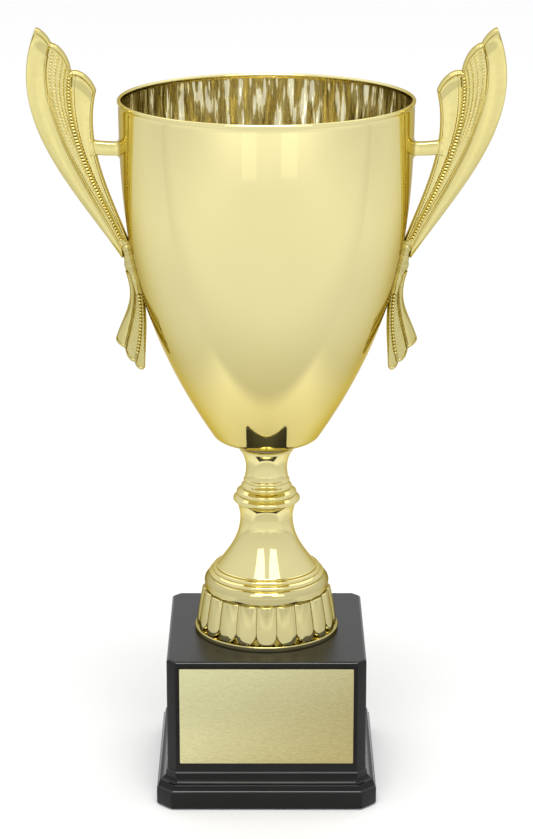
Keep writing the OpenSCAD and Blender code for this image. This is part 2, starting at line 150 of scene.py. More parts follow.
def grid_border(rows, columns):
    """Indices of a grid's outermost points, once round."""
    index = np.arange(rows * columns).reshape(rows, columns)
    return np.concatenate([index[0, :], index[1:, -1], index[-1, -2::-1], index[-2:0:-1, 0]])


def lathe(name, profile, segments=256, radius_at=None):
    """Turns a closed outline of (radius, height) points, in millimetres, round Z.

    radius_at(radii, heights, angles) may change the radius of each point.
    """
    profile = np.asarray(profile, float)
    angles = np.arange(segments) * TAU / segments
    radius = np.repeat(profile[:, :1], segments, axis=1)
    height = np.repeat(profile[:, 1:], segments, axis=1)
    turn = np.repeat(angles[None, :], len(profile), axis=0)
    if radius_at is not None:
        radius = radius_at(radius, height, turn)
    points = np.stack([radius * np.sin(turn), -radius * np.cos(turn), height], axis=-1)
    faces = grid_faces(len(profile), segments, wrap_columns=True, wrap_rows=True)
    return solid_from(name, points.reshape(-1, 3), faces)


def face_values(piece, key):
    """One vector for each face, as rows: its normal or its centre."""
    values = np.empty(len(piece.data.polygons) * 3)
    piece.data.polygons.foreach_get(key, values)
    return values.reshape(-1, 3)


def assign_slots(piece, slots):
    piece.data.polygons.foreach_set("material_index", np.asarray(slots, int).tolist())


def finish_piece(piece, material, slot, *nodes):
    """Gives a piece its material, hides the frame parts it replaces, and makes it ride on the body.
    """
    for m in material if isinstance(material, (list, tuple)) else [material]:
        piece.data.materials.append(m)
    if nodes:
        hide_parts(*nodes)
    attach(piece, "root")
    return piece


def sharpen(piece, degrees):
    """Marks edges sharper than the angle, so that flats stay flat under smooth shading."""
    piece.data.set_sharp_from_angle(angle=math.radians(degrees))


# ------------------------------------------------------------------ materials

class Shader:
    """Small helper that wires a Principled material with object-space detail."""

    def __init__(self, name, **inputs):
        self.material = bpy.data.materials.new(name)
        self.material.use_nodes = True
        self.tree = self.material.node_tree
        self.bsdf = self.tree.nodes["Principled BSDF"]
        for key, value in inputs.items():
            self.bsdf.inputs[key.replace("_", " ")].default_value = value
        self.place = self.add("ShaderNodeTexCoord").outputs["Object"]

    def add(self, kind, **inputs):
        node = self.tree.nodes.new(kind)
        for key, value in inputs.items():
            node.inputs[key.replace("_", " ")].default_value = value
        return node

    def wire(self, source, target):
        self.tree.links.new(source, target)

    def mapped(self, scale):
        node = self.add("ShaderNodeMapping")
        node.inputs["Scale"].default_value = scale
        self.wire(self.place, node.inputs["Vector"])
        return node.outputs["Vector"]

    def noise(self, size_mm, detail=3.0, stretch=(1, 1, 1)):
        """Noise whose features are about size_mm across, stretched along an axis."""
        per_metre = 1000.0 / size_mm
        node = self.add("ShaderNodeTexNoise", Scale=1.0, Detail=detail)
        self.wire(self.mapped([per_metre / s for s in stretch]), node.inputs["Vector"])
        return node.outputs["Fac"]

    def spread(self, value, low, high):
        """Turns a 0.3 to 0.7 noise into low to high."""
        node = self.add("ShaderNodeMapRange")
        node.inputs["From Min"].default_value = 0.3
        node.inputs["From Max"].default_value = 0.7
        node.inputs["To Min"].default_value = low
        node.inputs["To Max"].default_value = high
        self.wire(value, node.inputs["Value"])
        return node.outputs["Result"]

    def rough(self, value, low, high):
        self.wire(self.spread(value, low, high), self.bsdf.inputs["Roughness"])

    def blend(self, factor, first, second):
        """Colour between first and second by a factor from 0 to 1."""
        node = self.add("ShaderNodeMix")
        node.data_type = "RGBA"
        for socket in node.inputs:
            if socket.type == "RGBA":
                socket.default_value = (*(first if socket.name == "A" else second), 1)
        self.wire(factor, node.inputs["Factor"])
        return next(o for o in node.outputs if o.type == "RGBA")

    def tint(self, value, first, second):
        self.wire(self.blend(self.spread(value, 0, 1), first, second),
                  self.bsdf.inputs["Base Color"])

    def math(self, operation, *values):
        node = self.add("ShaderNodeMath")
        node.operation = operation
        for socket, value in zip(node.inputs, values):
            if isinstance(value, (int, float)):
                socket.default_value = value
            else:
                self.wire(value, socket)
        return node.outputs["Value"]

    def eased(self, value, low, high, start=0.0, stop=1.0):
        """Smooth step of a value from start at low to stop at high."""
        node = self.add("ShaderNodeMapRange")
        node.interpolation_type = "SMOOTHSTEP"
        node.inputs["From Min"].default_value = low
        node.inputs["From Max"].default_value = high
        node.inputs["To Min"].default_value = start
        node.inputs["To Max"].default_value = stop
        self.wire(value, node.inputs["Value"])
        return node.outputs["Result"]

    def slope_along(self, direction, centre, length):
        """0 to 1 along a direction over a length in metres, 0.5 where the projection is centre."""
        node = self.add("ShaderNodeVectorMath")
        node.operation = "DOT_PRODUCT"
        node.inputs[1].default_value = direction
        self.wire(self.place, node.inputs[0])
        return self.eased(node.outputs["Value"], -centre - length / 2, -centre + length / 2)

    def streaks(self, value, low, high):
        """Leans the shading normal up or down by the value, which breaks reflections into bands."""
        lean = self.add("ShaderNodeCombineXYZ")
        self.wire(self.spread(value, low, high), lean.inputs["Z"])
        node = self.add("ShaderNodeVectorMath")
        node.operation = "ADD"
        self.wire(self.add("ShaderNodeNewGeometry").outputs["Normal"], node.inputs[0])
        self.wire(lean.outputs["Vector"], node.inputs[1])
        unit = self.add("ShaderNodeVectorMath")
        unit.operation = "NORMALIZE"
        self.wire(node.outputs["Vector"], unit.inputs[0])
        self.wire(unit.outputs["Vector"], self.bsdf.inputs["Normal"])

    def bump(self, value, height_mm, strength=1.0):
        node = self.add("ShaderNodeBump", Strength=strength, Distance=height_mm * MM)
        self.wire(value, node.inputs["Height"])
        before = self.bsdf.inputs["Normal"].links
        if before:
            self.wire(before[0].from_socket, node.inputs["Normal"])
        self.wire(node.outputs["Normal"], self.bsdf.inputs["Normal"])


GOLD_LIGHT = (0.885, 0.795, 0.400)
GOLD_DEEP = (0.865, 0.770, 0.365)
# painted shade: the gold that the bowl deepens to near its foot
GOLD_FOOT_PAINTED_SHADE = (0.700, 0.590, 0.215)
GOLD_CAST_LIGHT = (0.905, 0.805, 0.350)
GOLD_CAST_DEEP = (0.885, 0.780, 0.320)
EDGE = (0.62, 0.52, 0.25, 1)


def spun_gold():
    """Polished bowl with faint turning lines from spinning; painted shade deepens its gold to the
    foot.
    """
    s = Shader("spun_gold", Metallic=1.0, Specular_Tint=EDGE)
    split = s.add("ShaderNodeSeparateXYZ")
    s.wire(s.place, split.inputs["Vector"])
    # painted shade: darker gold low on the bowl, full gold higher up
    height = s.eased(split.outputs["Z"], bowl_low[2] * MM + 0.008, bowl_low[2] * MM + 0.080)
    drift = s.spread(s.noise(45, 2), -0.05, 0.05)
    s.wire(s.blend(s.math("ADD", height, drift), GOLD_FOOT_PAINTED_SHADE, GOLD_LIGHT),
           s.bsdf.inputs["Base Color"])
    s.rough(s.noise(14, 4, (1, 1, 0.25)), 0.035, 0.075)
    s.bump(s.noise(0.9, 2, (60, 60, 1)), 0.0012)
    s.bump(s.noise(30, 1), 0.02)
    return s.material


def inner_gold():
    """Inside of the bowl: painted reflections as upright colour streaks, and streaks in gloss and
    normal.
    """
    s = Shader("inner_gold", Metallic=1.0, Specular_Tint=(0.92, 0.82, 0.48, 1))
    # painted reflections: bright and dark upright streaks in the colour
    s.tint(s.noise(2.6, 2, (1, 1, 9)), (0.98, 0.92, 0.60), (0.60, 0.53, 0.35))
    s.rough(s.noise(5, 3, (1, 1, 10)), 0.05, 0.14)
    s.streaks(s.noise(2.7, 2, (1, 1, 8)), -0.36, 0.33)
    s.bump(s.noise(3.0, 2, (1, 1, 7)), 0.9)
    s.bump(s.noise(2.0, 2, (1, 1, 2.5)), 0.10)
    return s.material


def shaded(colour, amount):
    return tuple(amount * c for c in colour)


def metallised_gold(name, amount, edge):
    """Vacuum-coated mouldings of the stem: mirror gloss with a trace of orange peel."""
    s = Shader(name, Metallic=1.0, Specular_Tint=edge)
    s.tint(s.noise(25, 2), shaded(GOLD_LIGHT, amount), shaded(GOLD_DEEP, amount))
    s.rough(s.noise(5, 3), 0.03, 0.08)
    s.bump(s.noise(2.5, 2), 0.003)
    return s.material


def cast_gold(name, amount):
    """Polished edges and dished panels of the handles."""
    s = Shader(name, Metallic=1.0, Specular_Tint=EDGE)
    s.tint(s.noise(9, 3), shaded(GOLD_CAST_LIGHT, amount), shaded(GOLD_CAST_DEEP, amount))
    s.rough(s.noise(2.5, 3), 0.10, 0.20)
    s.bump(s.noise(1.6, 3), 0.008)
    return s.material


def stippled_gold():
    """Fine punched ground of the middle plume."""
    s = Shader("stippled_gold", Metallic=1.0, Specular_Tint=EDGE)
    s.tint(s.noise(3, 3), shaded(GOLD_CAST_LIGHT, 0.90), (0.77, 0.67, 0.27))
    s.rough(s.noise(1.2, 2), 0.12, 0.26)
    s.bump(s.noise(0.7, 2), 0.014)
    return s.material


def black_plastic(name, ior, low, high, ripple_mm=0.02):
    """Moulded base: black with a hint of moulding ripple and fine dust marks."""
    s = Shader(name, IOR=ior)
    s.tint(s.noise(18, 3), (0.0060, 0.0058, 0.0055), (0.0085, 0.0080, 0.0076))
    s.rough(s.noise(7, 4), low, high)
    s.bump(s.noise(22, 1), ripple_mm)
    return s.material


def brushed_plate():
    """Lacquered engraving plate, brushed from side to side, with painted light and shade across it.
    """
    s = Shader("brushed_plate", Metallic=1.0, Anisotropic=0.4)
    grain = s.spread(s.noise(0.24, 3, (7, 1, 1)), -0.17, 0.17)
    # painted light and shade: pale gold at the upper left, deep gold at the lower right
    across = s.slope_along((0.62, 0, -0.78), 0.030, 0.115)
    s.wire(s.blend(s.math("ADD", across, grain), (0.81, 0.79, 0.46), (0.46, 0.375, 0.155)),
           s.bsdf.inputs["Base Color"])
    s.rough(s.noise(0.30, 3, (7, 1, 1)), 0.30, 0.44)
    s.bump(s.noise(0.24, 2, (7, 1, 1)), 0.010)
    return s.material


def plain(name, first, second, size_mm, rough, bump_mm, **inputs):
    """Everyday material with colour drift, roughness drift and a fine surface."""
    s = Shader(name, **inputs)
    s.tint(s.noise(size_mm, 4), first, second)
    s.rough(s.noise(size_mm * 0.6, 3), rough * 0.8, rough * 1.2)
    s.bump(s.noise(size_mm * 0.25, 3), bump_mm)
    return s.material


GOLD_BOWL = spun_gold()
GOLD_INSIDE = inner_gold()
GOLD_STEM = metallised_gold("metallised_gold", 0.93, EDGE)
# painted shade: a darker copy of the stem's gold for the flange, flutes, skirt and big bead
GOLD_FLUTES_PAINTED_SHADE = metallised_gold("metallised_gold_fluted_painted_shade", 0.76, (0.36, 0.29, 0.13, 1))
GOLD_CAST = cast_gold("cast_gold", 0.87)
# painted shade: a darker copy of the cast gold for the handles' tails and knots
GOLD_TAIL_PAINTED_SHADE = cast_gold("cast_gold_painted_shade", 0.70)
GOLD_STIPPLE = stippled_gold()
BLACK = black_plastic("black_gloss", 1.30, 0.11, 0.19)
BLACK_TOP = black_plastic("black_satin", 1.42, 0.33, 0.36, 0.004)
BLACK_EDGE = black_plastic("black_polished", 1.50, 0.08, 0.14)
PLATE = brushed_plate()

CARRIED = {
    "felt_pad": plain("felt", (0.030, 0.030, 0.030), (0.055, 0.052, 0.050), 1.2, 0.95, 0.12,
                      Sheen_Weight=0.4),
    "bottom_cover": plain("dark_board", (0.10, 0.08, 0.06), (0.15, 0.12, 0.09), 2.0, 0.8, 0.05),
    "ballast_block": plain("cast_plaster", (0.62, 0.60, 0.54), (0.74, 0.72, 0.66), 5, 0.85, 0.15),
    "plate_adhesive": plain("foam_sheet", (0.78, 0.78, 0.74), (0.70, 0.70, 0.66), 3, 0.7, 0.02),
    "bowl_gasket": plain("soft_gasket", (0.60, 0.58, 0.50), (0.52, 0.50, 0.43), 3, 0.55, 0.02),
}
CARRIED["handle_washers"] = CARRIED["bowl_gasket"]
ZINC = plain("bright_zinc", (0.60, 0.61, 0.62), (0.50, 0.51, 0.53), 2.5, 0.26, 0.01, Metallic=1.0)
for fastener in ("tie_rod", "lower_washer", "lock_washer", "lower_nut", "upper_washer",
                 "upper_nut", "handle_screws"):
    CARRIED[fastener] = ZINC

for node_name, node_material in CARRIED.items():
    node_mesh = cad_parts[node_name].data
    node_mesh.materials.clear()
    node_mesh.materials.append(node_material)


# ------------------------------------------------------------------ bowl

BOWL_SEGMENTS = 720
WALL = 0.9
BEAD_R = 0.9
BEAD_STANDS = 0.45            # how far the rim bead stands out from the wall
bowl_z = bowl_low[2]
bowl_h = bowl_high[2] - bowl_z
bowl_r = bowl_high[0] - BEAD_STANDS
rim_z = bowl_high[2]
wall_top = bowl_h - BEAD_R
FOOT_R = 23.8
FOOT_H = 5.7
SEAT_R = 11.6
rise = wall_top - FOOT_H
side_curve = [
    (FOOT_R, FOOT_H), (FOOT_R + 0.66 * 0.367 * rise, FOOT_H + 0.367 * rise),
    (bowl_r, FOOT_H + 0.65 * rise), (bowl_r, wall_top),
]


def bowl_outside(n):
    """Outside of the bowl from its seat to the mouth."""
    corner_in = np.array([FOOT_R - 3.8, FOOT_H - 2.66])
    corner = np.array([FOOT_R - 1.12, FOOT_H - 1.7])
    t = np.linspace(0, 1, 13)[:-1, None]
    bend = (1 - t) ** 2 * corner_in + 2 * (1 - t) * t * corner + t**2 * np.array(side_curve[0])
    t = np.linspace(0, 1, 9)[:-1, None]
    under = (1 - t) * np.array([SEAT_R, 0.0]) + t * corner_in
    return np.vstack([under, bend, curve(side_curve, n)])


def wall_radius(height):
    """Radius of the bowl's outside at a height above its seat."""
    side = curve(side_curve, 400)
    return np.interp(height, side[:, 1], side[:, 0])


def ripple(radius, height, angle, waves):
    """Sum of shallow waves that run up the wall."""
    total = np.zeros_like(radius)
    for count, depth, phase, lean in waves:
        total += depth * (np.sin(count * angle + phase + lean * height) - 0.55)
    return np.minimum(total, 0.15)


def build_bowl():
    seam = np.array([[hole_r, 0.0], [SEAT_R - 0.6, 0.0]])
    outside = np.vstack([seam, bowl_outside(110)])
    inside = shifted(outside, WALL)
    inside[0] = (hole_r, WALL)
    bead = arc((bowl_r - WALL / 2, wall_top), BEAD_R, -50, 232, 30)
    profile = np.vstack([outside[:-1], bead, inside[-2::-1]])
    profile[:, 1] += bowl_z
    dice = random.Random(4)
    waves = [(count, dice.uniform(0.5, 1.0) * 5.0 / count, dice.uniform(0, TAU),
              dice.uniform(-0.05, 0.05)) for count in (9, 14, 23, 31, 38, 47, 59, 73, 88)]
    first_inside = len(outside) - 1 + len(bead)

    def radius_at(radius, height, angle):
        inner = np.zeros_like(radius)
        inner[first_inside:] = 1
        below_rim = smoothstep(rim_z - height, 1.0, 22.0)
        above_seat = smoothstep(height - bowl_z, 6.0, 30.0)
        return radius + inner * below_rim * above_seat * ripple(radius, height, angle, waves)

    piece = lathe("spun_bowl", profile, BOWL_SEGMENTS, radius_at)
    faces = np.arange(len(piece.data.polygons))
    assign_slots(piece, faces >= first_inside * BOWL_SEGMENTS)
    finish_piece(piece, [GOLD_BOWL, GOLD_INSIDE], "polished_gold_metal", "bowl")


# ------------------------------------------------------------------ stem

RISER_SEGMENTS = 800
FLUTES = 20
FLANGE_T = 2.6
flange_r = riser_high[0]
crest_r = flange_r - 0.75
riser_h = riser_high[2] - riser_low[2]
TONGUE_H = 5.0                # height over which a flute's lower end narrows
FLUTE_TOP = FLANGE_T + 17.0
BELL_Z = FLUTE_TOP + 10.2
neck_r = 11.7


def crest(height):
    """Radius of the flutes' crests at a height above the riser's foot."""
    up = np.asarray(height) - FLANGE_T
    return crest_r - 0.12 * up - 0.0025 * up**2


def flute_relief(height, angle):
    """How far the fluted band lies below its crest line, in millimetres."""
    pitch = TAU / FLUTES
    across = np.abs(np.mod(angle + pitch / 2, pitch) - pitch / 2) / (pitch / 2)
    up = np.clip((height - FLANGE_T) / TONGUE_H, 0, 1)
    # the lobe narrows to a round tongue at its lower end, with a recess beside it
    width = np.clip(1 - (1 - up) ** 2.6, 0, 1) ** 0.40
    lobe = 1.1 * across**2.6 + 0.15 * (1 - up) ** 3
    recess = 1.7 + 0.22 * np.clip(TONGUE_H - (height - FLANGE_T), 0, TONGUE_H)
    beside = smoothstep(across - width, -0.02, 0.10)
    notch = 0.7 * np.clip(1 - (FLUTE_TOP - height) / 0.35, 0, 1)
    return (1 - beside) * lobe + beside * recess + notch


def build_riser():
    z0 = riser_low[2]
    bead_big = (float(crest(FLUTE_TOP)) - 4, FLUTE_TOP + 3.3)
    skirt = bead_big[0] + 3.0
    big_r, mid_r, small_r = 3.2, 1.1, 1.0
    bead_mid = (crest_r - 6.8, BELL_Z - 3.1)
    bead_small = (crest_r - 8.2, BELL_Z - 1.1)
    bell = [(crest_r - 9, BELL_Z), (crest_r - 14, BELL_Z + 6.8),
            (neck_r, BELL_Z + 12.7), (neck_r, riser_h)]
    dome = np.concatenate([
        np.linspace(FLANGE_T + 0.05, FLANGE_T + TONGUE_H, 34),
        np.linspace(FLANGE_T + TONGUE_H + 0.2, FLUTE_TOP - 2, 40),
        np.linspace(FLUTE_TOP - 1.9, FLUTE_TOP, 20),
    ])
    fluted = np.column_stack([crest(dome), dome])
    profile = np.vstack([
        [(crest_r - 6, 0), (flange_r - 0.5, 0)],
        arc((flange_r - 0.4, 0.4), 0.4, -80, 0, 4),
        arc((flange_r - 0.45, FLANGE_T - 0.75), 0.45, 0, 90, 6),
        [(crest_r - 0.6, FLANGE_T - 0.12), (crest_r - 1.4, FLANGE_T)],
        fluted,
        [(skirt - 0.75, FLUTE_TOP + 0.12), (skirt - 0.15, FLUTE_TOP + 0.22)],
        [(skirt, FLUTE_TOP + 0.5), (skirt + 0.1, FLUTE_TOP + 1.6)],
        arc(bead_big, big_r, -12, 62, 16),
        arc(bead_mid, mid_r, -38, 62, 10),
        arc(bead_small, small_r, -30, 80, 10),
        arc((crest_r - 9.2, BELL_Z + 0.25), 0.35, -60, 20, 5),
        curve(bell, 60, 0.02, 1.0),
        [(neck_r - 0.3, riser_h), (hole_r, riser_h), (hole_r, riser_h - 5)],
        [(neck_r - 2.5, riser_h - 5), (neck_r - 1.5, BELL_Z + 7), (crest_r - 11.5, BELL_Z - 4),
         (float(crest(FLUTE_TOP)) - 5, FLUTE_TOP - 2), (crest_r - 4.4, FLANGE_T + 4),
         (crest_r - 4.4, 0)],
    ])
    first = int(np.argmax(np.isclose(profile[:, 1], dome[0]) & (profile[:, 0] > crest_r - 2)))
    last = first + len(dome)
    rows_above = 21               # skirt and big bead, in the flutes' painted-shade gold

    def radius_at(radius, height, angle):
        out = radius.copy()
        out[first:last] -= flute_relief(height[first:last] - z0, angle[first:last])
        return out

    profile[:, 1] += z0
    piece = lathe("fluted_riser", profile, RISER_SEGMENTS, radius_at)
    faces = np.arange(len(piece.data.polygons))
    # slot 1, the painted-shade gold, covers the riser from its foot up through the big bead
    assign_slots(piece, faces < (last + rows_above) * RISER_SEGMENTS)
    sharpen(piece, 50)
    finish_piece(piece, [GOLD_STEM, GOLD_FLUTES_PAINTED_SHADE], "gold_metallised_plastic", "riser")


def ring_stack(rings, base):
    """Joins ring arcs, listed from below, into one outline: (radius, height, section)."""
    rows = []
    for edge, height, section in rings:
        rows.append(arc((edge - section, height + base), section, -58, 62, 12))
    return np.vstack(rows)


def build_knuckle():
    h = spool_z - knuckle_z
    widest = knuckle_high[0]
    cove = [(neck_r, 0), (neck_r + 0.6, 0.22 * h), (widest - 2.2, 0.27 * h),
            (widest - 0.75, 0.385 * h)]
    rings = [(widest, 0.42 * h, 1.15), (widest - 1.5, 0.58 * h, 1.1),
             (widest - 3.6, 0.735 * h, 0.95), (widest - 4.6, 0.89 * h, 0.9)]
    profile = np.vstack([
        [(hole_r, 0), (neck_r - 0.3, 0)],
        curve(cove, 26),
        ring_stack(rings, 0),
        curve([(widest - 5.35, 0.945 * h), (widest - 5.4, 0.96 * h), (9.55, 0.98 * h),
               (9.55, h)], 4),
        [(hole_r, h)],
    ])
    profile[:, 1] += knuckle_z
    piece = lathe("ringed_knuckle", profile, 192)
    sharpen(piece, 50)
    finish_piece(piece, GOLD_STEM, "gold_metallised_plastic", "knuckle")


def build_spool():
    h = spool_high[2] - spool_z
    waist = 9.2
    lip = spool_high[0]
    lower = [(9.55, 0), (waist, 0.1 * h), (waist, 0.2 * h), (waist, 0.29 * h)]
    upper = [(waist, 0.29 * h), (waist, 0.6 * h), (lip - 1.1, 0.78 * h), (lip - 0.35, h - 1.6)]
    profile = np.vstack([
        [(hole_r, 0), (9.3, 0)],
        curve(lower, 8),
        curve(upper, 26, 0.04, 1),
        arc((lip - 1, h - 1), 1.0, -40, 90, 16),
        [(hole_r, h)],
    ])
    profile[:, 1] += spool_z
    piece = lathe("waisted_spool", profile, 192)
    sharpen(piece, 50)
    finish_piece(piece, GOLD_STEM, "gold_metallised_plastic", "spool")


# ------------------------------------------------------------------ base and plate

def clipped_ring(half, clip, fillet, n=4):
    """Outline of a square with clipped corners, each of its eight corners rounded."""
    c = half - clip
    corners = [(c, -half), (half, -c), (half, c), (c, half),
               (-c, half), (-half, c), (-half, -c), (-c, -half)]
    points = []
    for i, corner in enumerate(corners):
        here = np.array(corner)
        before = np.array(corners[i - 1]) - here
        after = np.array(corners[(i + 1) % 8]) - here
        cut = fillet * math.tan(math.radians(22.5))
        a = here + before / np.linalg.norm(before) * cut
        b = here + after / np.linalg.norm(after) * cut
        for k in range(n + 1):
            t = k / n
            points.append((1 - t) ** 2 * a + 2 * (1 - t) * t * here + t**2 * b)
    return np.array(points)


def skin(rings):
    """Points and faces of a closed skin over equal rings of 3-D points, in order."""
    count = len(rings[0])
    faces = grid_faces(len(rings), count, wrap_columns=True)
    faces.append(list(range(count))[::-1])
    faces.append(list(range((len(rings) - 1) * count, len(rings) * count)))
    return np.vstack(rings), faces


def build_base():
    foot = shell_high[0]
    body = -plate_high[1] - 0.2
    top = shell_high[2]
    low = shell_low[2]
    face_h, cove_h = 8.3, 7.7
    ledge_z = face_h + 0.35 * cove_h
    cove_top = face_h + cove_h
    cove_w = foot - body - 1.6
    a = np.radians(np.linspace(0, 90, 13))
    cove = np.column_stack([
        body + 0.6 + cove_w * (1 - np.sin(a)),
        ledge_z + 0.4 + (cove_top - ledge_z - 0.8) * (1 - np.cos(a)),
    ])
    outline = np.vstack([
        [(foot - 3.6, low + 3.0), (foot - 3.5, low)],
        arc((foot - 0.5, low + 0.5), 0.5, -90, 0, 4),
        arc((foot - 1.3, face_h - 0.55), 1.3, 0, 58, 7),
        arc((foot - 1.95, ledge_z - 0.55), 0.95, 20, 90, 6),
        cove[1:],
        arc((body - 0.05, cove_top - 0.55), 0.75, 0, 80, 7),
        [(body, cove_top + 0.4), (body, cove_top + 1.0), (body, top - 2.2)],
        arc((body - 1.3, top - 1.3), 1.3, 0, 38, 5),
        arc((body - 1.45, top - 1.1), 1.1, 50, 90, 5),
        [(body - 1.8, top)],
    ])
    rings = []
    for half, height in outline:
        share = smoothstep(height, ledge_z, cove_top)
        clip = 6.5 * (1 - share) + 4.0 * share
        ring = clipped_ring(half, max(clip - (body - half if half < body else 0), 2), 0.7)
        rings.append(np.column_stack([ring, np.full(len(ring), height)]))
    piece = solid_from("moulded_base", *skin(rings))
    facing_up = face_values(piece, "normal")[:, 2]
    height = face_values(piece, "center")[:, 2] / MM
    slots = np.zeros(len(facing_up), int)
    reach = 0.75                  # how near an edge's height a face counts as part of it
    at_edge = (abs(height - face_h) < reach) | (abs(height - cove_top) < reach)
    at_edge |= height > top - 2
    slots[at_edge & (facing_up > 0.35) & (facing_up < 0.97)] = 2      # BLACK_EDGE
    slots[(facing_up > 0.9) & (height > top - 1)] = 1                 # BLACK_TOP
    assign_slots(piece, slots)
    sharpen(piece, 60)
    finish_piece(piece, [BLACK, BLACK_TOP, BLACK_EDGE], "black_gloss_plastic", "base_shell")


def rounded_rectangle(half_w, half_h, radius, n=5):
    corners = [(1, -1, -90), (1, 1, 0), (-1, 1, 90), (-1, -1, 180)]
    rows = [arc((sx * (half_w - radius), sz * (half_h - radius)), radius, a, a + 90, n)
            for sx, sz, a in corners]
    return np.vstack(rows)


def build_plate():
    half_w = (plate_high[0] - plate_low[0]) / 2
    half_h = (plate_high[2] - plate_low[2]) / 2
    mid_z = (plate_high[2] + plate_low[2]) / 2
    rings = []
    for inset, y in [(0.25, plate_high[1]), (0, plate_high[1] - 0.1), (0, plate_low[1] + 0.18),
                     (0.06, plate_low[1] + 0.05), (0.2, plate_low[1])]:
        ring = rounded_rectangle(half_w - inset, half_h - inset, 0.5)
        rings.append(np.column_stack([ring[:, 0], np.full(len(ring), y), ring[:, 1] + mid_z]))
    piece = solid_from("blank_plate", *skin(rings))
    sharpen(piece, 40)
    finish_piece(piece, PLATE, "brushed_gold_plate", "engraving_plate")


# ------------------------------------------------------------------ handles

PLUME_OUTER = [(34, 29.4), (50, -9), (18, -40), (-1, -69.3)]
RIB_OUTER = [(28.2, 23), (38.6, -2.7), (11.6, -41), (-0.6, -65)]
RIB_INNER = [(20, 11), (23.5, -15.7), (9.7, -39), (-1.6, -63)]
PLUME_INNER = [(9.6, 3), (15.4, -20.5), (4.2, -42), (-4, -63.5)]
TIP_OUTER = [(34, 29.4), (31.3, 28), (29.3, 25.8), (28.2, 23)]
TIP_MIDDLE = [(28.2, 23), (23.4, 22.2), (20.3, 15.5), (20, 11)]
TIP_INNER = [(20, 11), (15.4, 12.6), (10.7, 7), (9.6, 3)]

TAIL_OUTER = [(2.1, -105.7), (-1.9, -93.6), (-7.1, -89.3), (-2.5, -75.5)]
TAIL_RIB_OUTER = [(-1.8, -109.7), (-3.2, -99.9), (-8, -89.8), (-4.4, -77)]
TAIL_RIB_INNER = [(-6.1, -115.8), (-8.7, -104), (-9.8, -92), (-6.4, -78)]
TAIL_INNER = [(-9.7, -118.7), (-10, -107.2), (-12, -95.7), (-8.6, -80)]
END_OUTER = [(2.1, -105.7), (1.8, -107.7), (0, -109), (-1.8, -109.7)]
END_MIDDLE = [(-1.8, -109.7), (-2.1, -112), (-2.9, -116.2), (-6.1, -115.8)]
END_INNER = [(-6.1, -115.8), (-5.5, -117.4), (-8.1, -121), (-9.7, -118.7)]


def half_round(distance, width):
    """Profile of a half-round moulding that starts at the edge and is width wide."""
    return np.sqrt(np.clip(1 - ((distance - width / 2) / (width / 2)) ** 2, 0, 1))


def lobe_grid(side_a, side_b, crown, v, columns):
    """Points of one lobe between two curves; row 0 lies on the crown curve."""
    a, b = cubic(side_a, v), cubic(side_b, v)
    u = np.linspace(0, 1, columns)
    chord = (1 - u)[:, None] * a[0] + u[:, None] * b[0]
    swell = cubic(crown, u) - chord
    fade = (1 - v) ** 5
    points = ((1 - u)[None, :, None] * a[:, None] + u[None, :, None] * b[:, None]
              + fade[:, None, None] * swell[None])
    return points, u, np.linalg.norm(b - a, axis=1)


def feather(lobes, v, columns, relief):
    """Grid of several lobes side by side, with its half thickness.

    relief(index, u, width, reach) gives a lobe's half thickness from the place across it,
    its width and the distance from its crown.
    """
    grids, heights = [], []
    for index, (side_a, side_b, crown) in enumerate(lobes):
        points, u, width = lobe_grid(side_a, side_b, crown, v, columns)
        middle = points[:, columns // 2]
        reach = np.concatenate([[0], np.cumsum(np.linalg.norm(np.diff(middle, axis=0), axis=1))])
        half = relief(index, u[None, :], width[:, None], reach[:, None])
        first = 0 if index == 0 else 1
        grids.append(points[:, first:])
        heights.append(half[:, first:])
        if index:
            heights[-2][:, -1] = np.maximum(heights[-2][:, -1], half[:, 0])
    return np.concatenate(grids, axis=1), np.concatenate(heights, axis=1)


def plated(points, half, edge=0.45, edge_steps=6):
    """Closed solid from a grid in the handle's plane: front, back and a rounded edge.

    Returns points in handle space (out, depth, up), faces, and each face's grid column.
    """
    rows, columns = half.shape
    front = np.stack([points[..., 0], -half, points[..., 1]], axis=-1).reshape(-1, 3)
    back = front * np.array([1, -1, 1])
    vertices = [front, back]
    front_faces = grid_faces(rows, columns)
    back_faces = [f[::-1] for f in grid_faces(rows, columns, start=rows * columns)]
    column_of = [f[0] % columns for f in front_faces] * 2
    loop = grid_border(rows, columns)
    border = front[loop][:, [0, 2]]
    step = np.roll(border, -1, axis=0) - np.roll(border, 1, axis=0)
    out = np.column_stack([-step[:, 1], step[:, 0]])
    out /= np.maximum(np.linalg.norm(out, axis=1), 1e-9)[:, None]
    after = np.roll(border, -1, axis=0)
    if np.sum(border[:, 0] * after[:, 1] - border[:, 1] * after[:, 0]) > 0:
        out = -out
    start = 2 * rows * columns
    depth = -front[loop][:, 1]
    strips = []
    for k in range(1, edge_steps):
        a = math.pi * k / edge_steps
        ring = border + out * edge * math.sin(a)
        strips.append(np.column_stack([ring[:, 0], -depth * math.cos(a), ring[:, 1]]))
    count = len(loop)
    chain = [loop] + [start + np.arange(count) + k * count for k in range(edge_steps - 1)]
    chain.append(loop + rows * columns)
    edge_faces = []
    for above, below in zip(chain[:-1], chain[1:]):
        for i in range(count):
            j = (i + 1) % count
            edge_faces.append([int(above[j]), int(above[i]), int(below[i]), int(below[j])])
    vertices += strips
    faces = front_faces + back_faces + edge_faces
    return np.vstack(vertices), faces, column_of + [-1] * len(edge_faces)


